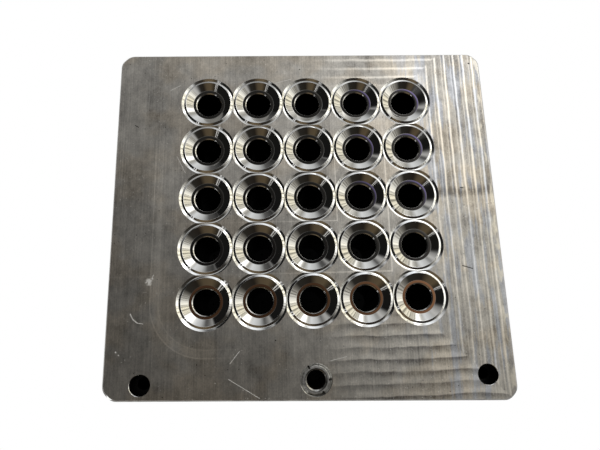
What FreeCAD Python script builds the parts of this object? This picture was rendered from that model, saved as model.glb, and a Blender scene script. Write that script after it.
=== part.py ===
import FreeCAD, Part
import os
import Sketcher

# Injection mould half: a milled cavity plate, a square grid of polished cavity inserts seated in it
# from the parting face, and a shouldered guide bush pressed in from the back.
#
# Frame: millimetres, +Z up. The back face lies on Z = 0 and the parting face looks up. The origin
# is the middle of the plate's bounding rectangle. +Y runs towards the back edge, and the row of
# three holes is along the front edge. Insert rows are counted from the back, columns from the left.

SIZES = {
    # The plate. Its front edge is out of square: the left side is shorter by front_skew.
    "plate_width": 353.0,
    "plate_depth": 331.0,
    "front_skew": 10.0,
    "plate_thickness": 45.0,
    "corner_cut": 8.0,
    "corner_round": 5.0,
    "edge_break": 1.2,
    # The grid of inserts, and where its middle lies on the plate.
    "grid_count": 5,
    "grid_pitch": 47.5,
    "grid_shift_x": 3.1,
    "grid_shift_y": 19.6,
    # One insert: a thin head in a shallow counterbore, and a shank down to the back face.
    "head_diameter": 46.8,
    "head_thickness": 5.0,
    "shank_diameter": 40.0,
    "seat_clearance": 0.02,
    # The V groove round each insert: one bevel on the plate's hole, one on the insert's rim.
    "seat_bevel": 2.0,
    "rim_bevel": 2.1,
    # The cavity: a 45 degree cone down to a flat land, then a deep bore with a gate in its floor.
    "land_outer_diameter": 30.0,
    "land_inner_diameter": 26.2,
    "bore_diameter": 23.6,
    "cavity_depth": 39.0,
    "gate_diameter": 2.0,
    "gate_seat_diameter": 9.0,
    "gate_land": 1.0,
    "shank_break": 0.8,
    # The front row: two screw holes, with the guide bush midway between them.
    "front_row_offset": 163.0,
    "screw_spacing": 297.0,
    "screw_hole_diameter": 11.0,
    "screw_head_diameter": 17.5,
    "screw_head_depth": 11.0,
    "screw_hole_break": 0.8,
    "bush_bore_diameter": 16.0,
    "bush_outer_diameter": 24.0,
    "bush_shoulder_diameter": 28.0,
    "bush_shoulder_thickness": 5.0,
    "bush_lead_in": 1.5,
    "bush_break": 0.3,
    "bush_clearance": 0.01,
    "bush_hole_bevel": 1.3,
}

# Sizes that follow from the ones above, as expressions on the sheet.
TOP = "Sizes.plate_thickness"
RIM_RADIUS = "(Sizes.head_diameter / 2 - Sizes.rim_bevel)"
CONE_DEPTH = f"({RIM_RADIUS} - Sizes.land_outer_diameter / 2)"
BORE_BREAK = "((Sizes.land_inner_diameter - Sizes.bore_diameter) / 2)"
HEAD_UNDERSIDE = f"({TOP} - Sizes.head_thickness)"
CAVITY_FLOOR = f"({TOP} - Sizes.cavity_depth)"
SEAT_RADIUS = "(Sizes.head_diameter / 2 + Sizes.seat_clearance)"
SHANK_HOLE_RADIUS = "(Sizes.shank_diameter / 2 + Sizes.seat_clearance)"
FIRST_SEAT = "(Sizes.grid_count - 1) / 2 * Sizes.grid_pitch"
FRONT_ROW_Y = "(Sizes.grid_shift_y - Sizes.front_row_offset)"
BUSH_HOLE_RADIUS = "(Sizes.bush_outer_diameter / 2 + Sizes.bush_clearance)"
BUSH_RECESS_RADIUS = "(Sizes.bush_shoulder_diameter / 2 + Sizes.bush_clearance)"

TOUCH = 1e-6

doc = FreeCAD.newDocument("mould_half")


def make_sheet():
    """Put every driving dimension in its own named cell."""
    sheet = doc.addObject("Spreadsheet::Sheet", "Sizes")
    for row, (name, value) in enumerate(SIZES.items(), start=1):
        sheet.set(f"A{row}", name)
        sheet.set(f"B{row}", str(value))
        sheet.setAlias(f"B{row}", name)
    doc.recompute()
    return sheet


def value(expression):
    """The number that an expression on the sheet gives."""
    result = doc.Sizes.evalExpression(expression)
    return float(getattr(result, "Value", result))


def add_body(name):
    body = doc.addObject("PartDesign::Body", name)
    body.Label = name
    return body


def origin_item(body, role):
    """One of the body's own origin planes or axes, such as XZ_Plane or Z_Axis."""
    return next(item for item in body.Origin.OriginFeatures if item.Role == role)


def add_sketch(body, name, plane, corners):
    """A closed polygon on one of the body's planes, each corner dimensioned from the sheet."""
    sketch = body.newObject("Sketcher::SketchObject", name)
    sketch.AttachmentSupport = [(origin_item(body, plane), "")]
    sketch.MapMode = "FlatFace"
    points = [FreeCAD.Vector(value(across), value(up), 0) for across, up in corners]
    lines = [
        sketch.addGeometry(Part.LineSegment(start, end), False)
        for start, end in zip(points, points[1:] + points[:1])
    ]
    for line, following in zip(lines, lines[1:] + lines[:1]):
        sketch.addConstraint(Sketcher.Constraint("Coincident", line, 2, following, 1))
    for line, (across, up) in zip(lines, corners):
        for direction, expression in (("DistanceX", across), ("DistanceY", up)):
            rule = Sketcher.Constraint(direction, -1, 1, line, 1, value(expression))
            number = sketch.addConstraint(rule)
            sketch.setExpression(f"Constraints[{number}]", expression)
    return sketch


def place(item, prefix, **expressions):
    """Bind the parts of a placement, such as x and y, to expressions."""
    for axis, expression in expressions.items():
        item.setExpression(f"{prefix}.Base.{axis}", expression)


def revolve(body, name, corners):
    """Turn a half section about the body's Z axis."""
    feature = body.newObject("PartDesign::Revolution", name)
    feature.Profile = add_sketch(body, f"{name}_section", "XZ_Plane", corners)
    feature.ReferenceAxis = (origin_item(body, "Z_Axis"), [""])
    feature.Angle = 360
    doc.recompute()
    return feature


def bore_out(body, name, x, y, corners):
    """Cut a turned hole whose axis stands at x, y; its half section is given from that axis."""
    before = body.Shape.Volume
    sketch = add_sketch(body, f"{name}_section", "XZ_Plane", corners)
    # The sketch looks along +Y, so its own third axis points to -Y.
    place(sketch, "AttachmentOffset", x=x, z=f"-({y})")
    feature = body.newObject("PartDesign::Groove", name)
    feature.Profile = sketch
    feature.ReferenceAxis = (sketch, ["V_Axis"])
    feature.Angle = 360
    doc.recompute()
    if body.Shape.Volume >= before:
        raise RuntimeError(f"{name} cuts nothing")
    return feature


def row_pattern(body, name, axis, length, count):
    """A straight pattern along one of the body's axes; the caller says what it repeats."""
    pattern = doc.addObject("PartDesign::LinearPattern", name)
    pattern.Direction = (origin_item(body, axis), [""])
    pattern.setExpression("Length", length)
    pattern.setExpression("Occurrences", count)
    return pattern


def vertical_edges(shape):
    """Names of the straight edges that run along Z over the whole height of the shape."""
    names = []
    for number, edge in enumerate(shape.Edges, start=1):
        start, end = edge.Vertexes[0].Point, edge.Vertexes[-1].Point
        upright = abs(start.x - end.x) < TOUCH and abs(start.y - end.y) < TOUCH
        if upright and edge.Length > shape.BoundBox.ZLength - TOUCH:
            names.append(f"Edge{number}")
    return names


def outline_edges(shape):
    """Names of the edges round the top and bottom faces."""
    names = []
    for number, edge in enumerate(shape.Edges, start=1):
        box = edge.BoundBox
        at_top = box.ZMin > shape.BoundBox.ZMax - TOUCH
        at_bottom = box.ZMax < shape.BoundBox.ZMin + TOUCH
        if at_top or at_bottom:
            names.append(f"Edge{number}")
    return names


def dress(body, kind, name, edges, size_name, expression):
    """A chamfer or a fillet on named edges of the body's present shape."""
    base = body.Tip
    feature = body.newObject(f"PartDesign::{kind}", name)
    feature.Base = (base, edges)
    feature.setExpression(size_name, expression)
    doc.recompute()
    return feature


def make_plate():
    body = add_body("cavity_plate")
    blank = body.newObject("PartDesign::Pad", "blank")
    blank.Profile = add_sketch(body, "outline", "XY_Plane", [
        ("-Sizes.plate_width / 2", "Sizes.front_skew - Sizes.plate_depth / 2"),
        ("Sizes.plate_width / 2", "-Sizes.plate_depth / 2"),
        ("Sizes.plate_width / 2", "Sizes.plate_depth / 2"),
        ("-Sizes.plate_width / 2", "Sizes.plate_depth / 2"),
    ])
    blank.setExpression("Length", TOP)
    doc.recompute()
    corners = vertical_edges(body.Shape)
    dress(body, "Chamfer", "corner_cuts", corners, "Size", "Sizes.corner_cut")
    corners = vertical_edges(body.Shape)
    dress(body, "Fillet", "corner_rounds", corners, "Radius", "Sizes.corner_round")
    rim = outline_edges(body.Shape)
    dress(body, "Chamfer", "edge_breaks", rim, "Size", "Sizes.edge_break")
    cut_insert_seats(body)
    cut_screw_holes(body)
    cut_bush_hole(body)
    return body


def cut_insert_seats(body):
    """One stepped seat at the front left of the grid, repeated over the whole grid."""
    seat = bore_out(body, "insert_seat", f"Sizes.grid_shift_x - {FIRST_SEAT}",
                    f"Sizes.grid_shift_y - {FIRST_SEAT}", [
        ("0", "0"),
        (SHANK_HOLE_RADIUS, "0"),
        (SHANK_HOLE_RADIUS, HEAD_UNDERSIDE),
        (SEAT_RADIUS, HEAD_UNDERSIDE),
        (SEAT_RADIUS, f"{TOP} - Sizes.seat_bevel"),
        (f"{SEAT_RADIUS} + Sizes.seat_bevel", TOP),
        ("0", TOP),
    ])
    seats = body.newObject("PartDesign::MultiTransform", "insert_seats")
    seats.Originals = [seat]
    span = "(Sizes.grid_count - 1) * Sizes.grid_pitch"
    seats.Transformations = [
        row_pattern(body, "seats_along_x", "X_Axis", span, "Sizes.grid_count"),
        row_pattern(body, "seats_along_y", "Y_Axis", span, "Sizes.grid_count"),
    ]
    body.Tip = seats
    doc.recompute()


def cut_screw_holes(body):
    """A counterbored hole for a cap screw at each end of the front row."""
    hole = "Sizes.screw_hole_diameter / 2"
    head = "Sizes.screw_head_diameter / 2"
    first = bore_out(body, "screw_hole", "Sizes.grid_shift_x - Sizes.screw_spacing / 2", FRONT_ROW_Y, [
        ("0", "0"),
        (hole, "0"),
        (hole, f"{TOP} - Sizes.screw_head_depth"),
        (head, f"{TOP} - Sizes.screw_head_depth"),
        (head, f"{TOP} - Sizes.screw_hole_break"),
        (f"{head} + Sizes.screw_hole_break", TOP),
        ("0", TOP),
    ])
    both = row_pattern(body, "screw_holes", "X_Axis", "Sizes.screw_spacing", "2")
    body.addObject(both)
    both.Originals = [first]
    body.Tip = both
    doc.recompute()


def cut_bush_hole(body):
    """The guide bush's hole, bevelled at the parting face and recessed for its shoulder."""
    bore_out(body, "bush_hole", "Sizes.grid_shift_x", FRONT_ROW_Y, [
        ("0", "0"),
        (BUSH_RECESS_RADIUS, "0"),
        (BUSH_RECESS_RADIUS, "Sizes.bush_shoulder_thickness"),
        (BUSH_HOLE_RADIUS, "Sizes.bush_shoulder_thickness"),
        (BUSH_HOLE_RADIUS, f"{TOP} - Sizes.bush_hole_bevel"),
        (f"{BUSH_HOLE_RADIUS} + Sizes.bush_hole_bevel", TOP),
        ("0", TOP),
    ])


def make_insert(row, column):
    """A cavity insert, seated under its head and flush with both faces of the plate."""
    body = add_body(f"cavity_insert_r{row}c{column}")
    bore = "Sizes.bore_diameter / 2"
    shank = "Sizes.shank_diameter / 2"
    land_height = f"{TOP} - {CONE_DEPTH}"
    revolve(body, "turned", [
        ("Sizes.gate_diameter / 2", f"{CAVITY_FLOOR} - Sizes.gate_land"),
        ("Sizes.gate_seat_diameter / 2", "0"),
        (f"{shank} - Sizes.shank_break", "0"),
        (shank, "Sizes.shank_break"),
        (shank, HEAD_UNDERSIDE),
        ("Sizes.head_diameter / 2", HEAD_UNDERSIDE),
        ("Sizes.head_diameter / 2", f"{TOP} - Sizes.rim_bevel"),
        (RIM_RADIUS, TOP),
        ("Sizes.land_outer_diameter / 2", land_height),
        ("Sizes.land_inner_diameter / 2", land_height),
        (bore, f"{land_height} - {BORE_BREAK}"),
        (bore, CAVITY_FLOOR),
        ("Sizes.gate_diameter / 2", CAVITY_FLOOR),
    ])
    middle = "(Sizes.grid_count + 1) / 2"
    place(body, "Placement",
          x=f"Sizes.grid_shift_x + ({column} - {middle}) * Sizes.grid_pitch",
          y=f"Sizes.grid_shift_y + ({middle} - {row}) * Sizes.grid_pitch")
    return body


def make_guide_bush():
    """A bush with its shoulder in the back face and its other end flush with the parting face."""
    body = add_body("guide_bush")
    bore = "Sizes.bush_bore_diameter / 2"
    outside = "Sizes.bush_outer_diameter / 2"
    shoulder = "Sizes.bush_shoulder_diameter / 2"
    revolve(body, "turned", [
        (f"{bore} + Sizes.bush_break", "0"),
        (f"{shoulder} - Sizes.bush_break", "0"),
        (shoulder, "Sizes.bush_break"),
        (shoulder, "Sizes.bush_shoulder_thickness"),
        (outside, "Sizes.bush_shoulder_thickness"),
        (outside, f"{TOP} - Sizes.bush_break"),
        (f"{outside} - Sizes.bush_break", TOP),
        (f"{bore} + Sizes.bush_lead_in", TOP),
        (bore, f"{TOP} - Sizes.bush_lead_in"),
        (bore, "Sizes.bush_break"),
    ])
    place(body, "Placement", x="Sizes.grid_shift_x", y=FRONT_ROW_Y)
    return body


def check(parts):
    """Stop if any object failed or any part has no sound solid."""
    for item in doc.Objects:
        if {"Invalid", "Error"} & set(item.State):
            raise RuntimeError(f"{item.Name} failed: {item.State}")
    for part in parts:
        shape = part.Shape
        if shape.isNull() or not shape.isValid() or len(shape.Solids) != 1:
            raise RuntimeError(f"{part.Label} is not one sound solid")


make_sheet()
count = int(value("Sizes.grid_count"))
parts = [make_plate(), make_guide_bush()]
for row in range(1, count + 1):
    for column in range(1, count + 1):
        parts.append(make_insert(row, column))
doc.recompute()
check(parts)

os.makedirs("parts", exist_ok=True)
for part in parts:
    part.Shape.exportStep(f"parts/{part.Label}.step")
    print(f"{part.Label}: {part.Shape.Volume / 1000:.2f} cm3")
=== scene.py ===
import functools
import math

import bmesh
import bpy
from mathutils import Matrix, Vector


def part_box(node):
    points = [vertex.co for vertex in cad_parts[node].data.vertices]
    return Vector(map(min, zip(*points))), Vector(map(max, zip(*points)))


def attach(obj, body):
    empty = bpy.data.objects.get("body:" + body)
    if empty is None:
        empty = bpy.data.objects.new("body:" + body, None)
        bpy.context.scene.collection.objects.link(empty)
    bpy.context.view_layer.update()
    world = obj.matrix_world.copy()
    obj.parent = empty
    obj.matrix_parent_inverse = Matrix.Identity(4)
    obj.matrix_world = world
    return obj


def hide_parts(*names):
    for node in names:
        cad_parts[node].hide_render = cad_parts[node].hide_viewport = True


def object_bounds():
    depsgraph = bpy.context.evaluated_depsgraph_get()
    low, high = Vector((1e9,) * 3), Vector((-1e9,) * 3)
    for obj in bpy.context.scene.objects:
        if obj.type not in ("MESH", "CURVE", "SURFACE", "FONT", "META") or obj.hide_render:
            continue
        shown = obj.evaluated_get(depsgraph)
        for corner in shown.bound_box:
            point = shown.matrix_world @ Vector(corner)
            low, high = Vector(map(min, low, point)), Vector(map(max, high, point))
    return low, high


MM = 0.001

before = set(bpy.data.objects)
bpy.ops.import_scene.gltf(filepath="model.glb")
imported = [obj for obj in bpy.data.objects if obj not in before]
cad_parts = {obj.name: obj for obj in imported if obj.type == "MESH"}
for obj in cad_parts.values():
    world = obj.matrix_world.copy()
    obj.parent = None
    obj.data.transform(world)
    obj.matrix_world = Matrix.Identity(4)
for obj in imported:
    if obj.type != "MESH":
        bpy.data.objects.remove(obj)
cad_low, cad_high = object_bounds()


# ---------------------------------------------------------------------------------------------
# Sizes in millimetres. The main ones and all places are read from the frame
# ---------------------------------------------------------------------------------------------

INSERTS = sorted(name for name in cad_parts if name.startswith("cavity_insert_"))


def centre_of(node):
    """The middle of a node's box."""
    low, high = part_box(node)
    return (low + high) / 2 / MM


def width_of(node):
    low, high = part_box(node)
    return (high.x - low.x) / MM


LEFT = cad_low.x / MM
RIGHT = cad_high.x / MM
BACK = cad_high.y / MM
TOP = cad_high.z / MM
GRID = sum((centre_of(name) for name in INSERTS), Vector()) / len(INSERTS)
BUSH = centre_of("guide_bush")

# The plate. Its front edge is skewed: the left end lies that much further back.
FRONT_SKEW = 10.0
CORNER_CUT = 8.0
CORNER_EASE = 4.6
EDGE_BREAK = 1.2

# An insert, whose rim leads down a cone to a flat land round the bore.
HEAD_RADIUS = width_of(INSERTS[0]) / 2
HEAD_THICKNESS = 5.0
RIM_RADIUS = HEAD_RADIUS - 2.1
LAND_OUTER = 15.1
LAND_INNER = 12.4
LAND_DEPTH = (RIM_RADIUS - LAND_OUTER) * math.tan(math.radians(30.0))
BORE_RADIUS = 11.6
CAVITY_DEPTH = 39.0
SHANK_RADIUS = 20.0
SHANK_BREAK = 0.8
GATE_RADIUS = 1.0
GATE_LENGTH = 1.0
GATE_SEAT_RADIUS = 4.5
EDGE_EASE = 0.12

# The groove round an insert, between the bevel of its head and the bevel of its seat.
SEAT_RADIUS = HEAD_RADIUS + 2.0
GROOVE_SLOPE = math.tan(math.radians(32.0))

# The front row: a screw hole on each side of the guide bush, this far from it.
SCREW_OFFSET = 148.5
SCREW_RADIUS = 5.5
SCREW_HEAD_RADIUS = 8.75
SCREW_HEAD_DEPTH = 11.0
SCREW_HOLE_BREAK = 0.3
BUSH_RADIUS = 12.0
BUSH_BREAK = 0.5
BUSH_HOLE_BEVEL = 1.9
BUSH_SHOULDER_RADIUS = 14.0
BUSH_SHOULDER_HEIGHT = 5.0
BUSH_FOOT_BREAK = 0.3
BUSH_BORE_RADIUS = 8.0
BUSH_LEAD_IN = 1.5


# ---------------------------------------------------------------------------------------------
# Shader arithmetic: a mask is written as a formula on these
# ---------------------------------------------------------------------------------------------


def wire(tree, value, socket):
    """Feed a socket with another socket's value or with a constant."""
    if isinstance(value, Field):
        tree.links.new(value.socket, socket)
    else:
        socket.default_value = value


# What a ramp that falls goes from and to.
FALLING = (1.0, 0.0)


class Field:
    """A value that varies over a surface or round the world: one output socket of a node tree."""

    def __init__(self, tree, socket):
        self.tree = tree
        self.socket = socket

    def calc(self, operation, *others):
        node = self.tree.nodes.new("ShaderNodeMath")
        node.operation = operation
        for socket, value in zip(node.inputs, (self, *others)):
            wire(self.tree, value, socket)
        return Field(self.tree, node.outputs[0])

    def calc_colour(self, operation, other, other_input):
        """The same for a colour."""
        node = self.tree.nodes.new("ShaderNodeVectorMath")
        node.operation = operation
        wire(self.tree, self, node.inputs[0])
        wire(self.tree, other, node.inputs[other_input])
        return Field(self.tree, node.outputs[0])

    def __add__(self, other):
        return self.calc("ADD", other)

    def __sub__(self, other):
        return self.calc("SUBTRACT", other)

    def __mul__(self, other):
        return self.calc("MULTIPLY", other)

    def __truediv__(self, other):
        return self.calc("DIVIDE", other)

    def __neg__(self):
        return self.calc("MULTIPLY", -1.0)

    def max(self, other):
        return self.calc("MAXIMUM", other)

    def min(self, other):
        return self.calc("MINIMUM", other)

    def abs(self):
        return self.calc("ABSOLUTE")

    def wrap(self, period):
        """The place within one period, from 0 to 1."""
        return (self / period).calc("FRACT")

    def ramp(self, start, end, low=0.0, high=1.0, smooth=True):
        """Goes from low at start to high at end, and stays there."""
        node = self.tree.nodes.new("ShaderNodeMapRange")
        node.interpolation_type = "SMOOTHSTEP" if smooth else "LINEAR"
        for socket, value in zip(node.inputs, (self, start, end, low, high)):
            wire(self.tree, value, socket)
        return Field(self.tree, node.outputs[0])

    def bump(self, middle, half_width):
        """1 at the middle, falling to 0 at half_width on each side."""
        return (self - middle).abs().ramp(0.0, half_width, *FALLING)


def hypotenuse(across, along):
    return (across * across + along * along).calc("SQRT")


def strongest(fields):
    """The greatest of several fields, place by place."""
    return functools.reduce(Field.max, fields)


def coordinates(tree, kind):
    """x, y and z of a place on a surface, or of a direction in the world."""
    source = tree.nodes.new("ShaderNodeTexCoord")
    split = tree.nodes.new("ShaderNodeSeparateXYZ")
    tree.links.new(source.outputs[kind], split.inputs[0])
    return [Field(tree, out) for out in split.outputs]


def light_path(tree, *kinds):
    """1 for the light rays of each of those kinds, in the order given."""
    node = tree.nodes.new("ShaderNodeLightPath")
    return [Field(tree, node.outputs[f"Is {kind} Ray"]) for kind in kinds]


def mix(factor, below, above):
    """A colour that goes from below to above as factor goes from 0 to 1."""
    tree = factor.tree
    node = tree.nodes.new("ShaderNodeMix")
    node.data_type = "RGBA"
    wire(tree, factor, node.inputs["Factor"])
    sockets = [socket for socket in node.inputs if socket.type == "RGBA"]
    for socket, colour in zip(sockets, (below, above)):
        wire(tree, colour if isinstance(colour, Field) else (*colour, 1.0), socket)
    return Field(tree, next(socket for socket in node.outputs if socket.type == "RGBA"))


class Surface:
    """A metal being put together, with x, y and z over its object in millimetres."""

    def __init__(self, name, roughness):
        self.material = bpy.data.materials.new(name)
        self.material.use_nodes = True
        self.tree = self.material.node_tree
        self.tree.nodes.clear()
        self.shader = self.tree.nodes.new("ShaderNodeBsdfPrincipled")
        self.shader.inputs["Metallic"].default_value = 1.0
        self.shader.inputs["Roughness"].default_value = roughness
        output = self.tree.nodes.new("ShaderNodeOutputMaterial")
        self.tree.links.new(self.shader.outputs[0], output.inputs["Surface"])
        self.x, self.y, self.z = (axis / MM for axis in coordinates(self.tree, "Object"))
        self.above_top = self.z - TOP

    def vector(self, x, y, z):
        node = self.tree.nodes.new("ShaderNodeCombineXYZ")
        for socket, value in zip(node.inputs, (x, y, z)):
            wire(self.tree, value, socket)
        return Field(self.tree, node.outputs[0])

    def noise(self, grain_x, grain_y, grain_z=10.0, detail=2.0, seed=0.0):
        """Soft noise from about 0 to 1, with a grain of that many millimetres each way."""
        node = self.tree.nodes.new("ShaderNodeTexNoise")
        node.inputs["Scale"].default_value = 1.0
        node.inputs["Detail"].default_value = detail
        place = self.vector(self.x / grain_x + seed, self.y / grain_y + seed, self.z / grain_z)
        self.tree.links.new(place.socket, node.inputs["Vector"])
        return Field(self.tree, node.outputs["Fac"])

    def specks(self, spacing, radius, seed=0.0):
        """1 inside round specks, at most one to each cell of that many millimetres."""
        node = self.tree.nodes.new("ShaderNodeTexVoronoi")
        node.voronoi_dimensions = "2D"
        node.inputs["Scale"].default_value = 1.0
        place = self.vector(self.x / spacing + seed, self.y / spacing + seed, 0.0)
        self.tree.links.new(place.socket, node.inputs["Vector"])
        distance = Field(self.tree, node.outputs["Distance"])
        return distance.ramp(0.4 * radius / spacing, radius / spacing, *FALLING)

    def line(self, start, end, width):
        """1 on a scratch from start to end, fading out at its width to each side."""
        run = Vector(end) - Vector(start)
        length = run.length
        along = ((self.x - start[0]) * run.x + (self.y - start[1]) * run.y) / length
        across = ((self.x - start[0]) * run.y - (self.y - start[1]) * run.x) / length
        past = (-along).max(along - length).max(0.0)
        return hypotenuse(across, past).ramp(0.2 * width, width, *FALLING)

    def distance_from(self, middle):
        return hypotenuse(self.x - middle[0], self.y - middle[1])

    def spot(self, middle, radius):
        """1 on a round mark, fading out at its radius."""
        return self.distance_from(middle).ramp(0.4 * radius, radius, *FALLING)

    def set(self, name, field):
        self.tree.links.new(field.socket, self.shader.inputs[name])

    def relief(self, height, depth_mm):
        """Raise the surface where height is 1, by that many millimetres."""
        node = self.tree.nodes.new("ShaderNodeBump")
        node.inputs["Strength"].default_value = 1.0
        node.inputs["Distance"].default_value = depth_mm * MM
        self.tree.links.new(height.socket, node.inputs["Height"])
        self.tree.links.new(node.outputs[0], self.shader.inputs["Normal"])


# ---------------------------------------------------------------------------------------------
# Materials: the tool marks on the plate's face, partly relief and partly painted reflection
# ---------------------------------------------------------------------------------------------

# The face mill went round the grid in square passes. Seen from the grid's middle, one pass on the
# right and one at the back have their middle at this distance, and one in front has its end there.
PASS_STEP = 9.4
RIGHT_PASS = 128.4
BACK_PASS = 120.9
FRONT_PASS_STEP = 10.2
FRONT_PASS = 117.6
INNER_PASSES = (24.0, 71.5)

# Where the passes set in outside the grid, and where they turn a corner past its diagonals.
RIGHT_START = (108.0, 125.0)
BACK_START = (108.0, 116.0)
FRONT_START = (106.0, 112.0)
BACK_CORNER = (12.0, 15.0)
FRONT_CORNER = (14.0, 17.0)

# An earlier pass ran straight for this far from the grid's middle, and then round the corner.
ARC_START = 95.0


def right_passes(s, to_right, to_back, wander):
    """Right of the grid, narrow pale lines run front to back, and fade past a dull band."""
    place = (to_right + wander - RIGHT_PASS + PASS_STEP / 2).wrap(PASS_STEP)
    lines = place.bump(0.5, 0.17) * 1.3 + place.bump(0.14, 0.12) * 0.5 - 0.35
    zone = to_right.ramp(*RIGHT_START) * (to_back - to_right).ramp(*BACK_CORNER, *FALLING)
    zone = zone * (-to_back - to_right).ramp(*FRONT_CORNER, *FALLING)
    zone = zone * s.y.ramp(12.0, 24.0, 0.55, 1.0)
    dull = s.y.bump(21.5, 7.0) * s.x.ramp(112.0, 122.0)
    return lines * zone - dull * 0.4


def back_passes(to_right, to_back, wander):
    """Behind the grid the same passes turn a corner and run to the left, fading out."""
    place = (to_back + wander - BACK_PASS + PASS_STEP / 2).wrap(PASS_STEP)
    zone = to_back.ramp(*BACK_START) * to_right.ramp(-10.0, 60.0)
    zone = zone * (to_back - to_right).ramp(*BACK_CORNER)
    return (place.bump(0.5, 0.24) * 1.2 - 0.4) * zone


def front_passes(s, to_right, to_front):
    """In front, each pass is cut a little deeper at its far side, so it shades like a saw tooth:
    painted shade in the colour, as well as relief.
    """
    drift = (s.noise(22.0, 60.0, detail=2.0, seed=27.0) - 0.5) * 5.0
    place = (to_front + drift - FRONT_PASS + FRONT_PASS_STEP).wrap(FRONT_PASS_STEP)
    teeth = place.ramp(0.0, 0.86, -0.75, 0.7) * place.ramp(0.92, 1.0, *FALLING)
    teeth = teeth * s.noise(30.0, 6.0, detail=3.0, seed=33.0).ramp(0.35, 0.6, 0.45, 1.0)
    zone = to_front.ramp(*FRONT_START) * to_right.ramp(0.0, 40.0)
    return teeth * zone * (to_front - to_right).ramp(*FRONT_CORNER)


def inner_passes(to_right, to_back):
    """Between the seats, two square passes left a pale line each."""
    loop = to_right.max(-to_back)
    first, second = (loop.bump(distance, 1.1) for distance in INNER_PASSES)
    fade = to_right.ramp(-60.0, 30.0, 0.15, 1.0) * to_back.ramp(10.0, 90.0, *FALLING)
    return (first + second) * fade


def tool_arc(to_right, to_back):
    """Two faint lines that an earlier, rounder pass left round the front left of the grid."""
    reach_x = (to_right.abs() - ARC_START).max(0.0)
    reach_y = (to_back.abs() - ARC_START).max(0.0)
    distance = hypotenuse(reach_x, reach_y)
    lines = distance.bump(47.7, 1.1) + distance.bump(40.7, 1.0) * 0.6
    between = distance.bump(43.5, 6.0) * 0.7
    fade = to_right.ramp(-110.0, -50.0, *FALLING) * to_back.ramp(0.0, 90.0, *FALLING)
    return (lines + between) * fade


def face_tone_and_sheen(s):
    """How pale the face is, from about -0.5 in dull troughs to about 0.5 on bright lands.

    The bright and dull bands of the tool passes are painted reflection as well as relief; the lay,
    mottle, stains and grain are the steel's own tone.
    """
    to_right, to_back = s.x - GRID.x, s.y - GRID.y
    wander = (s.noise(30.0, 30.0, detail=1.0, seed=3.0) - 0.5) * 2.0
    stripes = right_passes(s, to_right, to_back, wander) + inner_passes(to_right, to_back) * 0.8
    bands = back_passes(to_right, to_back, wander)
    teeth = front_passes(s, to_right, -to_back)
    tone_and_sheen = stripes * 0.6 + bands * 0.4 + teeth * 0.44 + tool_arc(to_right, to_back) * 0.28
    lay = s.noise(0.8, 70.0, detail=3.0, seed=1.0) - 0.5
    mottle = s.noise(26.0, 40.0, detail=5.0, seed=7.0) - 0.5
    stains = s.noise(7.0, 9.0, detail=4.0, seed=17.0) - 0.5
    grain = s.noise(0.9, 1.3, detail=2.0, seed=11.0) - 0.5
    return tone_and_sheen + lay * 0.5 + mottle * 0.8 + stains * 0.6 + grain * 0.5


# ---------------------------------------------------------------------------------------------
# Materials: the wear on the plate's face
# ---------------------------------------------------------------------------------------------

# Scratches and nicks, with start, end and width.
PALE_SCRATCHES = [
    ((-155.8, -84.0), (-153.5, -88.6), 0.6),
    ((-153.5, -88.6), (-149.5, -91.8), 0.7),
    ((-149.5, -91.8), (-144.8, -92.6), 0.5),
    ((-137.4, -50.5), (-138.6, -54.0), 0.5),
    ((-71.1, -140.6), (-45.1, -156.7), 0.4),
    ((-120.0, 60.0), (-112.0, 44.0), 0.35),
    ((-128.0, 128.0), (-119.0, 133.0), 0.4),
    ((-30.0, 134.0), (-12.0, 139.0), 0.35),
    ((-62.0, -118.0), (-70.0, -128.0), 0.4),
    ((16.0, -128.0), (30.0, -125.0), 0.35),
]
DARK_NICKS = [
    ((138.9, -48.5), (147.8, -51.4), 0.7),
    ((144.7, 25.3), (147.0, 25.0), 0.9),
    ((-12.0, 82.2), (-9.6, 83.4), 0.7),
    ((-160.0, 92.0), (-157.0, 90.0), 0.6),
]

# Spots of wear, with middle and radius.
PALE_SPOTS = [
    ((-140.5, -56.1), 2.3),
    ((-166.5, -115.7), 1.0),
    ((-164.0, -118.2), 0.7),
    ((-137.8, -54.0), 0.9),
]
DARK_SPOTS = [
    ((166.2, 155.0), 1.3),
    ((-3.3, 149.6), 0.8),
    ((-31.0, -109.7), 0.8),
    ((-98.0, -128.0), 0.7),
]
SMEAR = ((-141.2, -56.6), 4.2)


def marks(s, scattered, scratches, spots):
    """Marks scattered all over, and those with a place of their own."""
    lines = [s.line(*scratch) for scratch in scratches]
    return strongest([scattered, *lines, *(s.spot(*spot) for spot in spots)])


def pale_marks(s):
    specks = s.specks(8.0, 0.5, seed=2.0) * s.noise(20.0, 20.0, seed=5.0).ramp(0.48, 0.58) * 0.7
    smear = s.spot(*SMEAR) * s.noise(1.6, 1.2, detail=4.0, seed=6.0).ramp(0.33, 0.50)
    return marks(s, specks.max(smear), PALE_SCRATCHES, PALE_SPOTS)


def dark_marks(s):
    specks = s.specks(17.0, 0.55, seed=9.0) * s.noise(25.0, 25.0, seed=15.0).ramp(0.5, 0.6)
    return marks(s, specks, DARK_NICKS, DARK_SPOTS)


# ---------------------------------------------------------------------------------------------
# Materials: the metals
# ---------------------------------------------------------------------------------------------

# Pairs of colours, from the dullest to the brightest place.
PLAIN_STEEL = ((0.17, 0.163, 0.155), (0.86, 0.82, 0.745))
WARM_STEEL = ((0.17, 0.15, 0.125), (0.90, 0.825, 0.71))
COOL_STEEL = ((0.16, 0.165, 0.18), (0.76, 0.775, 0.81))
PLATE_SIDES = ((0.20, 0.192, 0.18), (0.40, 0.39, 0.365))
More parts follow.
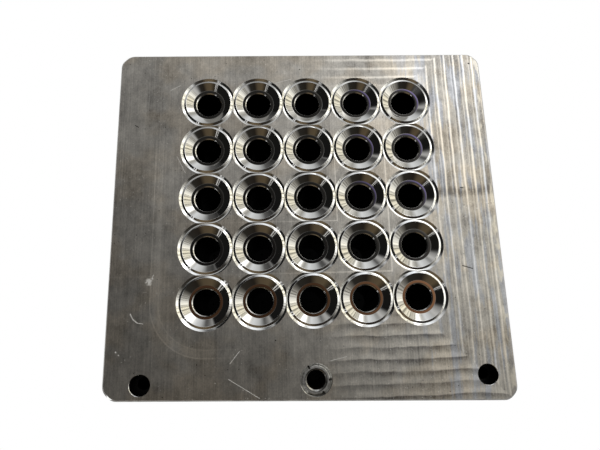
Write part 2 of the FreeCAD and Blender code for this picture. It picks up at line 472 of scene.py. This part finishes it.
# The cone's colour, and the whiter colour of the rim, which is a painted highlight.
CONE_AND_RIM_HIGHLIGHT = ((0.66, 0.65, 0.62), (1.0, 1.0, 0.99))
BUSH_FACE = ((0.42, 0.41, 0.39), (0.86, 0.85, 0.81))
# The bush's bore: painted shade, and a painted brown reflection.
BUSH_BORE_SHADE_AND_REFLECTION = ((0.012, 0.011, 0.010), (0.20, 0.13, 0.055))

FACE_ROUGHNESS = 0.38
BEVEL_SMOOTHER = 0.27
MARKS_ROUGHER = 0.3
MARKS_LESS_METALLIC = 0.9
FACE_RELIEF = 0.04

# Only the plate's sides lie further than this from its middle, to the right or left and to the
# back or front.
SIDES_X = 172.0
SIDES_Y = 154.0


def face_colour(s, tone_and_sheen, pale, dark):
    """Grey steel, warm in patches and cool in streaks on the right, with the marks on it. The tool
    passes' painted reflection sets its lightness, and a painted glint lies along the right edge.
    """
    lightness_and_sheen = (tone_and_sheen + 0.5).ramp(0.0, 1.0, smooth=False)
    warmth = s.noise(35.0, 30.0, detail=2.0, seed=31.0).ramp(0.42, 0.62)
    coolness = s.noise(5.0, 45.0, detail=3.0, seed=41.0).ramp(0.50, 0.62) * s.x.ramp(60.0, 130.0)
    # Painted glint: cream highlights painted in patches along the right edge.
    painted_glint = s.x.ramp(168.0, 173.0) * s.noise(6.0, 18.0, detail=2.0, seed=51.0).ramp(0.52, 0.62)
    colour = mix(lightness_and_sheen, *PLAIN_STEEL)
    colour = mix(warmth, colour, mix(lightness_and_sheen, *WARM_STEEL))
    colour = mix(coolness, colour, mix(lightness_and_sheen, *COOL_STEEL))
    colour = mix(pale, colour, (0.97, 0.96, 0.93))
    colour = mix(dark, colour, (0.03, 0.028, 0.025))
    return mix(painted_glint * 0.5, colour, (0.90, 0.84, 0.70))


def milled_steel():
    """The plate: worn milled steel. Where its holes open, the turned bevels are smoother and
    whitened as a painted highlight, and deeper down the holes are painted dark as shade.
    """
    s = Surface("milled_steel", FACE_ROUGHNESS)
    on_face = s.above_top.ramp(-0.1, -0.02)
    off_sides = (s.x.abs() - SIDES_X).max(s.y.abs() - SIDES_Y).ramp(-0.1, 0.1, *FALLING)
    near_top = s.above_top.ramp(-3.0, -2.0) * off_sides
    painted_hole_shade = s.above_top.ramp(-2.6, -1.7, *FALLING) * off_sides * s.z.ramp(0.3, 1.2)
    on_bevels = near_top * on_face.ramp(0.0, 1.0, *FALLING)

    ground = s.noise(9.0, 9.0, grain_z=0.8, detail=3.0, seed=21.0).ramp(0.3, 0.7)
    # Painted highlight: the turned bevels near the top are whitened. Painted shade: the hole walls
    # below them are near black.
    below = mix(near_top, mix(ground, *PLATE_SIDES), (1.0, 1.0, 0.98))
    below = mix(painted_hole_shade, below, (0.015, 0.015, 0.014))

    tone_and_sheen, pale = face_tone_and_sheen(s), pale_marks(s)
    s.set("Base Color", mix(on_face, below, face_colour(s, tone_and_sheen, pale, dark_marks(s))))
    scuffed = pale * on_face
    s.set("Metallic", scuffed * -MARKS_LESS_METALLIC + 1.0)
    s.set("Roughness", on_bevels * -BEVEL_SMOOTHER + scuffed * MARKS_ROUGHER + FACE_ROUGHNESS)
    s.relief(tone_and_sheen * on_face, FACE_RELIEF)
    return s.material


# The painted reflection on an insert's land is strongest in this direction, in degrees.
LAND_REFLECTION_DIRECTION = 40.0


def polished_steel(name, land_reflection_colour, reach=95.0, from_lip=1.1):
    """A turned and polished insert. Its bore is painted black as shade, its land is painted dark as
    a dark reflection, and its lip and rim carry a painted highlight.

    The land's painted reflection fades out that many degrees to each side of its direction, and it
    sets in that many millimetres outside the painted highlight on the bore's lip.
    """
    s = Surface(name, roughness=0.07)
    radius = hypotenuse(s.x, s.y)
    angle = s.y.calc("ARCTAN2", s.x) * (180.0 / math.pi)
    # From the middle out: the bore in painted shade, its lip with a painted highlight, the land
    # painted dark with a painted reflection, the mouth, and the rim with a painted highlight.
    out_of_bore = s.above_top.ramp(-LAND_DEPTH - 5.0, -LAND_DEPTH - 0.9)
    lip_highlight = radius.ramp(LAND_INNER - 0.1, LAND_INNER + 0.1, 0.9, 0.0)
    off_lip = radius.ramp(LAND_INNER + from_lip, LAND_INNER + from_lip + 0.6)
    in_mouth = radius.ramp(LAND_OUTER - 0.3, LAND_OUTER + 0.1)
    rim_highlight = radius.ramp(RIM_RADIUS - 0.25, RIM_RADIUS - 0.1)
    # The land is painted dark as a dark reflection, with a coloured painted reflection strongest in
    # one direction.
    land = mix(angle.bump(LAND_REFLECTION_DIRECTION, reach) * off_lip, (0.035, 0.033, 0.030), land_reflection_colour)
    land = mix(lip_highlight, land, (0.95, 0.94, 0.92))
    middle = mix(out_of_bore, (0.005, 0.005, 0.005), land)
    s.set("Base Color", mix(in_mouth, middle, mix(rim_highlight, *CONE_AND_RIM_HIGHLIGHT)))
    return s.material


# The bush is staked where the hour hand points at these hours.
STAKE_HOURS = (11, 3, 5)
STAKE_CIRCLE = 11.4
STAKE_RADIUS = 1.4


def stake(s, hour):
    angle = math.radians(90 - 30 * hour)
    away = Vector((math.cos(angle), math.sin(angle))) * STAKE_CIRCLE
    return s.spot(BUSH.xy + away, STAKE_RADIUS)


def ground_steel():
    """The guide bush: a ground ring, staked in three places, with its bore painted dark as shade
    and a painted brown reflection low in it, on its front side.
    """
    s = Surface("ground_steel", roughness=0.3)
    radius = s.distance_from(BUSH)
    wear = s.noise(2.5, 2.5, detail=4.0, seed=4.0).ramp(0.3, 0.7)
    lead_in_edge = radius.bump(BUSH_BORE_RADIUS + BUSH_LEAD_IN, 0.5)
    # Painted shade in the bore, with a painted brown reflection low on its front side.
    painted_brown_reflection = (-(s.y - BUSH.y)).ramp(-2.0, 6.0) * s.above_top.bump(-9.0, 9.0)
    out_of_bore = radius.ramp(BUSH_BORE_RADIUS - 0.1, BUSH_BORE_RADIUS + 0.3)
    face = mix(wear, *BUSH_FACE)
    face = mix(lead_in_edge, face, (0.08, 0.075, 0.07))
    face = mix(strongest([stake(s, hour) for hour in STAKE_HOURS]), face, (0.05, 0.045, 0.04))
    s.set("Base Color", mix(out_of_bore, mix(painted_brown_reflection, *BUSH_BORE_SHADE_AND_REFLECTION), face))
    return s.material


# ---------------------------------------------------------------------------------------------
# Stage: camera and floor
# ---------------------------------------------------------------------------------------------

CAMERA_PLACE = Vector((-18.6, -91.2, 381.6)) * MM
CAMERA_TARGET = Vector((-7.7, -30.8, 45.0)) * MM
CAMERA_TURN = math.radians(1.56)
CAMERA_LENS = 22.8
CAMERA_SHIFT = 0.0413


def add_camera():
    data = bpy.data.cameras.new("camera")
    data.lens = CAMERA_LENS
    data.sensor_width = 36.0
    data.shift_y = CAMERA_SHIFT
    data.clip_start = 0.01
    camera = bpy.data.objects.new("camera", data)
    bpy.context.scene.collection.objects.link(camera)
    back = (CAMERA_PLACE - CAMERA_TARGET).normalized()
    upward = Vector((math.sin(CAMERA_TURN), math.cos(CAMERA_TURN), 0.0))
    right = upward.cross(back).normalized()
    up = back.cross(right)
    turn = Matrix((right, up, back)).transposed().to_4x4()
    camera.matrix_world = Matrix.Translation(CAMERA_PLACE) @ turn
    bpy.context.scene.camera = camera


# In metres: half the floor's side, and how far its middle, painted dark as shade, stays inside
# the part's box.
FLOOR_REACH = 6.0
UNDERCUT = 4 * MM


def floor_material():
    """White wherever it is seen or mirrored, and painted dark under the part: painted shade, seen
    through its holes.
    """
    material = bpy.data.materials.new("floor")
    material.use_nodes = True
    tree = material.node_tree
    tree.nodes.clear()
    matt = tree.nodes.new("ShaderNodeBsdfDiffuse")
    white = tree.nodes.new("ShaderNodeEmission")
    blend = tree.nodes.new("ShaderNodeMixShader")
    output = tree.nodes.new("ShaderNodeOutputMaterial")
    x, y, _ = coordinates(tree, "Object")
    reach_x = x.abs() - (cad_high.x - UNDERCUT)
    reach_y = y.abs() - (cad_high.y - UNDERCUT)
    outside = reach_x.max(reach_y).calc("GREATER_THAN", 0.0)
    seen = strongest(light_path(tree, "Camera", "Glossy", "Transmission"))
    # Painted shade: under the part the floor is dark, and it shows so through the holes.
    wire(tree, outside * 0.85 + 0.05, matt.inputs["Color"])
    wire(tree, seen * outside, blend.inputs[0])
    tree.links.new(matt.outputs[0], blend.inputs[1])
    tree.links.new(white.outputs[0], blend.inputs[2])
    tree.links.new(blend.outputs[0], output.inputs["Surface"])
    return material


def add_floor():
    mesh = bpy.data.meshes.new("floor")
    signs = [(-1, -1), (1, -1), (1, 1), (-1, 1)]
    corners = [(x * FLOOR_REACH, y * FLOOR_REACH, 0.0) for x, y in signs]
    mesh.from_pydata(corners, [], [(0, 1, 2, 3)])
    mesh.materials.append(floor_material())
    floor = bpy.data.objects.new("floor", mesh)
    bpy.context.scene.collection.objects.link(floor)


# ---------------------------------------------------------------------------------------------
# Stage: the world that the metal mirrors
# ---------------------------------------------------------------------------------------------

# What stands round the part, low down, going round from +X: azimuth in degrees, and colour.
ROOM = [
    (0, (0.95, 0.94, 0.88)),
    (12, (1.55, 1.50, 1.34)),
    (20, (1.30, 1.22, 0.98)),
    (40, (1.10, 1.05, 0.88)),
    (50, (0.80, 0.77, 0.68)),
    (58, (0.95, 0.94, 0.89)),
    (68, (0.46, 0.45, 0.42)),
    (78, (0.95, 0.98, 1.02)),
    (94, (0.66, 0.68, 0.70)),
    (106, (0.13, 0.13, 0.13)),
    (126, (0.010, 0.010, 0.010)),
    (205, (0.012, 0.012, 0.011)),
    (222, (0.045, 0.036, 0.024)),
    (238, (0.125, 0.094, 0.056)),
    (262, (0.105, 0.080, 0.050)),
    (282, (0.022, 0.018, 0.014)),
    (320, (0.030, 0.028, 0.024)),
    (333, (0.22, 0.21, 0.19)),
    (345, (0.62, 0.60, 0.55)),
    (360, (0.95, 0.94, 0.88)),
]

# Two narrow gaps of light in the dark side: azimuth and half width in degrees.
GAPS = [(208.5, 1.3), (214.5, 2.1)]
GAP_LIGHT = 1.1

OVERHEAD_LIMIT = 3.0


def light_overhead(x, y):
    """The light falls off evenly from the window, which is to the right and behind."""
    light = (x * 2.2 + y * 2.15 - 1.30).calc("EXPONENT").min(OVERHEAD_LIMIT)
    dim_middle = x.bump(0.02, 0.36).ramp(0.0, 1.0, 1.0, 0.45, smooth=False)
    return light * dim_middle * x.ramp(0.28, 0.5, 1.0, 1.4)


def room_light(turn, degrees):
    """The room's colours, with upright window bars as fine lines round the bright side."""
    tree = turn.tree
    ring = tree.nodes.new("ShaderNodeValToRGB")
    wire(tree, turn, ring.inputs[0])
    stops = ring.color_ramp.elements
    stops[0].position, stops[1].position = 0.0, 1.0
    stops[0].color = stops[1].color = (*ROOM[0][1], 1.0)
    for azimuth, colour in ROOM[1:-1]:
        stops.new(azimuth / 360.0).color = (*colour, 1.0)
    bars = tree.nodes.new("ShaderNodeTexNoise")
    bars.noise_dimensions = "1D"
    bars.inputs["Scale"].default_value = 70.0
    bars.inputs["Detail"].default_value = 3.0
    wire(tree, turn, bars.inputs["W"])
    shade = Field(tree, bars.outputs["Fac"]).ramp(0.41, 0.55, 0.36, 1.12)
    barred = degrees.ramp(46.0, 66.0, *FALLING).max(degrees.ramp(325.0, 345.0))
    colour = Field(tree, ring.outputs["Color"])
    return colour.calc_colour("SCALE", (shade - 1.0) * barred + 1.0, "Scale")


def gap_light(x, y, degrees):
    low_down = hypotenuse(x, y).ramp(0.40, 0.48)
    first, second = (degrees.bump(*gap) for gap in GAPS)
    return (first + second) * low_down * GAP_LIGHT


def add_world():
    """A room of soft light. Seen straight from the camera it is plain white."""
    world = bpy.data.worlds.new("studio")
    world.use_nodes = True
    bpy.context.scene.world = world
    tree = world.node_tree
    x, y, _ = coordinates(tree, "Generated")
    turn = (y.calc("ARCTAN2", x) / (2 * math.pi)).wrap(1.0)
    degrees = turn * 360.0
    # The room starts where the flat face no longer mirrors the light over it.
    aside = (x.abs() - 0.44).max(-y - 0.24).max(y - 0.72)
    overhead = aside.ramp(0.0, 0.12, *FALLING)
    light = mix(overhead, room_light(turn, degrees), light_overhead(x, y))
    light = light.calc_colour("ADD", gap_light(x, y, degrees), 1)
    (from_camera,) = light_path(tree, "Camera")
    shown = mix(from_camera, light, (1.0, 1.0, 1.0))
    wire(tree, shown, tree.nodes["Background"].inputs["Color"])


# ---------------------------------------------------------------------------------------------
# The part: how its pieces are made
# ---------------------------------------------------------------------------------------------

SEGMENTS = 96
SHARP_ANGLE = math.radians(18.0)


def new_piece(name, mesh, material, slot, *nodes):
    """Link a mesh as a piece of the part that stands for the named CAD nodes."""
    mesh.materials.clear()
    mesh.materials.append(material)
    for face in mesh.polygons:
        face.use_smooth = True
    mesh.set_sharp_from_angle(angle=SHARP_ANGLE)
    piece = bpy.data.objects.new(name, mesh)
    bpy.context.scene.collection.objects.link(piece)
    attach(piece, "root")
    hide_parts(*nodes)
    return piece


def finished(build, name):
    """What was built, as a mesh."""
    mesh = bpy.data.meshes.new(name)
    build.to_mesh(mesh)
    build.free()
    return mesh


def around(points):
    """Each point of a closed outline, between the one before it and the one after it."""
    return zip(points[-1:] + points[:-1], points, points[1:] + points[:1])


def eased(profile):
    """The closed profile with each corner rounded, and its straight runs kept truly straight."""
    points = []
    for before, corner, after in around([Vector(point) for point in profile]):
        ends = [before - corner, after - corner]
        reach = [min(EDGE_EASE, end.length * 0.25) for end in ends]
        ways = [end.normalized() for end in ends]
        first, last = (corner + way * size for way, size in zip(ways, reach))
        middle = corner * 0.5 + (first + last) * 0.25
        supports = [corner + way * size * 1.6 for way, size in zip(ways, reach)]
        points += [supports[0], first, middle, last, supports[1]]
    return points


def ring_of(build, radius, height, centre):
    """A ring of vertices, or a single one where the radius is 0."""
    ring = []
    for step in range(SEGMENTS if radius else 1):
        angle = 2 * math.pi * step / SEGMENTS
        x = centre[0] + radius * math.cos(angle)
        y = centre[1] + radius * math.sin(angle)
        ring.append(build.verts.new((x * MM, y * MM, height * MM)))
    return ring


def lathe(name, profile, centre=(0.0, 0.0)):
    """Turn a closed profile of (radius, height); points on the axis make a solid."""
    build = bmesh.new()
    rings = [ring_of(build, radius, height, centre) for radius, height in profile]
    for ring, following in zip(rings, rings[1:] + rings[:1]):
        if len(ring) == 1 and len(following) == 1:
            continue
        for step in range(SEGMENTS):
            after = (step + 1) % SEGMENTS
            corners = [ring[step % len(ring)], ring[after % len(ring)],
                       following[after % len(following)], following[step % len(following)]]
            build.faces.new(dict.fromkeys(corners))
    bmesh.ops.recalc_face_normals(build, faces=build.faces)
    return finished(build, name)


# ---------------------------------------------------------------------------------------------
# The part: inserts
# ---------------------------------------------------------------------------------------------


def insert_mesh():
    groove = (HEAD_RADIUS - RIM_RADIUS) * GROOVE_SLOPE
    land = TOP - LAND_DEPTH
    floor = TOP - CAVITY_DEPTH
    return lathe("cavity_insert", eased([
        (GATE_RADIUS, floor - GATE_LENGTH),
        (GATE_SEAT_RADIUS, 0.0),
        (SHANK_RADIUS - SHANK_BREAK, 0.0),
        (SHANK_RADIUS, SHANK_BREAK),
        (SHANK_RADIUS, TOP - HEAD_THICKNESS),
        (HEAD_RADIUS, TOP - HEAD_THICKNESS),
        (HEAD_RADIUS, TOP - groove),
        (RIM_RADIUS, TOP),
        (LAND_OUTER, land),
        (LAND_INNER, land),
        (BORE_RADIUS, land - (LAND_INNER - BORE_RADIUS)),
        (BORE_RADIUS, floor),
        (GATE_RADIUS, floor),
    ]))


def make_inserts():
    """Inserts of one shape. Their lands' painted reflection: front row coppery, back right bluish.
    """
    plain = polished_steel("polished_steel", (0.06, 0.055, 0.048))
    coppery = polished_steel("polished_steel_warm", (0.26, 0.13, 0.065), reach=900.0, from_lip=0.1)
    bluish = polished_steel("polished_steel_cool", (0.125, 0.10, 0.22))
    front_row = min(centre_of(node).y for node in INSERTS)
    master = insert_mesh()
    for node in INSERTS:
        middle = centre_of(node)
        material = plain
        if middle.y < front_row + 1.0:
            material = coppery
        elif middle.x > GRID.x + 10.0 and middle.y > GRID.y - 10.0:
            material = bluish
        name = node.replace("cavity_", "")
        piece = new_piece(name, master.copy(), material, "polished_steel", node)
        piece.location = (middle.x * MM, middle.y * MM, 0.0)


# ---------------------------------------------------------------------------------------------
# The part: plate and bush
# ---------------------------------------------------------------------------------------------

# How far the cutters stand out of the plate, above and below.
CUTTER_EXCESS = 2.0


def plate_outline():
    """The plate seen from above: each corner is cut, and the ends of the cut are rounded."""
    # Uncut, the front right corner lies as far forward as the back edge lies back.
    corners = [(LEFT, FRONT_SKEW - BACK), (RIGHT, -BACK), (RIGHT, BACK), (LEFT, BACK)]
    cuts = []
    for before, corner, after in around([Vector(corner) for corner in corners]):
        cuts += [corner + (end - corner).normalized() * CORNER_CUT for end in (before, after)]
    points = []
    for before, cut, after in around(cuts):
        start, end = (cut + (other - cut).normalized() * CORNER_EASE for other in (before, after))
        for share in (step / 5 for step in range(6)):
            rest = 1 - share
            points.append(start * rest ** 2 + cut * 2 * share * rest + end * share ** 2)
    return points


def plate_blank():
    """The plain plate, with a small break round both faces."""
    outline = plate_outline()
    middle = sum(outline, Vector((0.0, 0.0))) / len(outline)
    shrink_x = 1 - EDGE_BREAK / (RIGHT - middle.x)
    shrink_y = 1 - EDGE_BREAK / (BACK - middle.y)
    face = []
    for point in outline:
        offset = point - middle
        face.append(middle + Vector((offset.x * shrink_x, offset.y * shrink_y)))
    levels = [(face, 0.0), (outline, EDGE_BREAK), (outline, TOP - EDGE_BREAK), (face, TOP)]
    build = bmesh.new()
    rings = []
    for points, height in levels:
        rings.append([build.verts.new((x * MM, y * MM, height * MM)) for x, y in points])
    for ring, above in zip(rings, rings[1:]):
        for step in range(len(ring)):
            after = (step + 1) % len(ring)
            build.faces.new((ring[step], ring[after], above[after], above[step]))
    build.faces.new(rings[0][::-1])
    build.faces.new(rings[-1])
    bmesh.ops.recalc_face_normals(build, faces=build.faces)
    return finished(build, "plate")


def hole(lower_radius, step_height, upper_radius, bevel, slope=1.0):
    """A cutter's profile: a hole through the plate that widens at a step, with a bevel on top.

    The bevel reaches that far outwards and falls by slope for each millimetre of it. The cutter
    goes on at the same slope past the plate's face.
    """
    bottom, above = -CUTTER_EXCESS, TOP + CUTTER_EXCESS
    return [
        (0.0, bottom),
        (lower_radius, bottom),
        (lower_radius, step_height),
        (upper_radius, step_height),
        (upper_radius, TOP - bevel * slope),
        (upper_radius + bevel + CUTTER_EXCESS / slope, above),
        (0.0, above),
    ]


def plate_cutters():
    """One mesh of turned cutters: the insert seats, the screw holes and the bush's hole."""
    seat_bevel = SEAT_RADIUS - HEAD_RADIUS
    seat = hole(SHANK_RADIUS, TOP - HEAD_THICKNESS, HEAD_RADIUS, seat_bevel, GROOVE_SLOPE)
    screw = hole(SCREW_RADIUS, TOP - SCREW_HEAD_DEPTH, SCREW_HEAD_RADIUS, SCREW_HOLE_BREAK)
    bush = hole(BUSH_SHOULDER_RADIUS, BUSH_SHOULDER_HEIGHT, BUSH_RADIUS, BUSH_HOLE_BEVEL)
    places = [(seat, centre_of(node)) for node in INSERTS]
    places += [(screw, BUSH + Vector((side * SCREW_OFFSET, 0.0, 0.0))) for side in (-1, 1)]
    places.append((bush, BUSH))
    build = bmesh.new()
    for profile, place in places:
        build.from_mesh(lathe("cutter", profile, centre=place))
    return finished(build, "cutters")


def make_plate(material):
    plate = bpy.data.objects.new("plate_blank", plate_blank())
    cutters = bpy.data.objects.new("cutters", plate_cutters())
    for item in (plate, cutters):
        bpy.context.scene.collection.objects.link(item)
    cut = plate.modifiers.new("cut", "BOOLEAN")
    cut.operation = "DIFFERENCE"
    cut.solver = "EXACT"
    cut.use_self = True
    cut.object = cutters
    graph = bpy.context.evaluated_depsgraph_get()
    mesh = bpy.data.meshes.new_from_object(plate.evaluated_get(graph))
    for item in (plate, cutters):
        bpy.data.objects.remove(item)
    new_piece("milled_plate", mesh, material, "milled_steel", "cavity_plate")


def make_bush(material):
    mesh = lathe("guide_bush", eased([
        (BUSH_BORE_RADIUS + BUSH_FOOT_BREAK, 0.0),
        (BUSH_SHOULDER_RADIUS - BUSH_FOOT_BREAK, 0.0),
        (BUSH_SHOULDER_RADIUS, BUSH_FOOT_BREAK),
        (BUSH_SHOULDER_RADIUS, BUSH_SHOULDER_HEIGHT),
        (BUSH_RADIUS, BUSH_SHOULDER_HEIGHT),
        (BUSH_RADIUS, TOP - BUSH_BREAK),
        (BUSH_RADIUS - BUSH_BREAK, TOP),
        (BUSH_BORE_RADIUS + BUSH_LEAD_IN, TOP),
        (BUSH_BORE_RADIUS, TOP - BUSH_LEAD_IN),
        (BUSH_BORE_RADIUS, BUSH_FOOT_BREAK),
    ]), centre=BUSH)
    new_piece("bush", mesh, material, "ground_steel", "guide_bush")


make_plate(milled_steel())
make_inserts()
make_bush(ground_steel())

add_floor()
add_world()
add_camera()

view_settings = bpy.context.scene.view_settings
view_settings.view_transform = "Standard"
